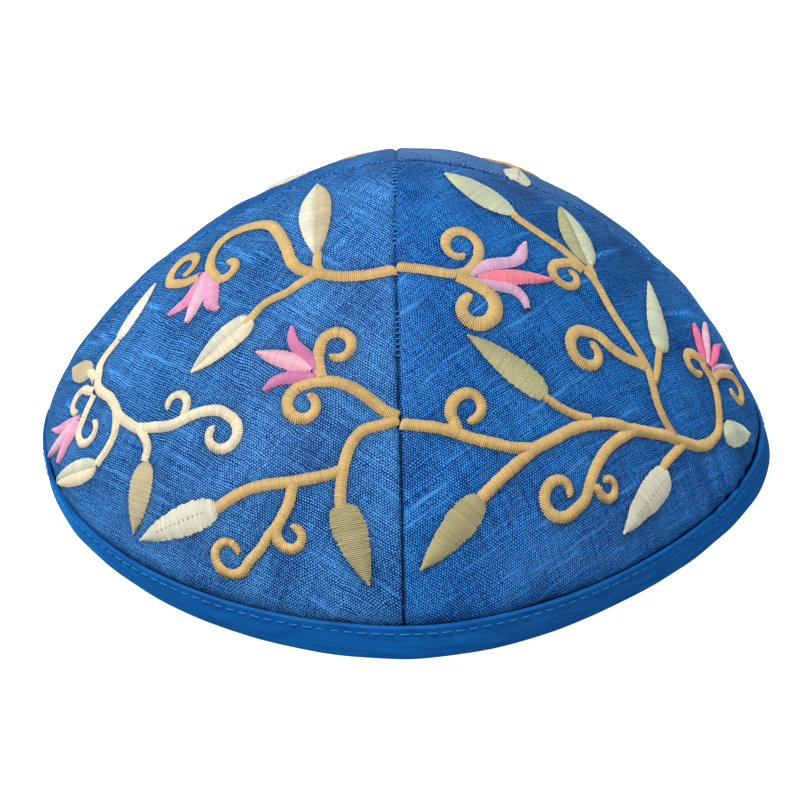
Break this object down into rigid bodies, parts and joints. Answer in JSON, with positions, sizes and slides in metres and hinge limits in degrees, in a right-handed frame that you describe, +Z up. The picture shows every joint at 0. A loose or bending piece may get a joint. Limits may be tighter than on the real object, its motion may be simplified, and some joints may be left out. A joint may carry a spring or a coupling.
{
  "type": "kippah",
  "caption": "Domed kippah of four silk gores with a folded rim binding, embroidered with curling vines, leaves and lilies.",
  "frame": {"origin": "centre of the rim's outline, on the surface that the cap stands on", "axes": "+Z up through the crown, -Y towards the front seam, +X towards the right seam"},
  "size_m": [0.1698, 0.168, 0.0715],
  "materials": {
    "silk_panel": "slubbed plain-weave silk, shot blue on navy",
    "rim_binding": "smooth twill binding, folded and topstitched",
    "gold_thread": "satin stitch in rayon thread",
    "ivory_thread": "satin stitch in rayon thread",
    "sage_thread": "satin stitch in rayon thread",
    "pink_thread": "satin stitch in rayon thread",
    "seam_thread": "twisted sewing thread"
  },
  "bodies": {
    "root": {"panel_front_right": "silk_panel", "panel_back_right": "silk_panel", "panel_back_left": "silk_panel", "panel_front_left": "silk_panel", "rim_binding": "rim_binding"}
  },
  "joints": []
}
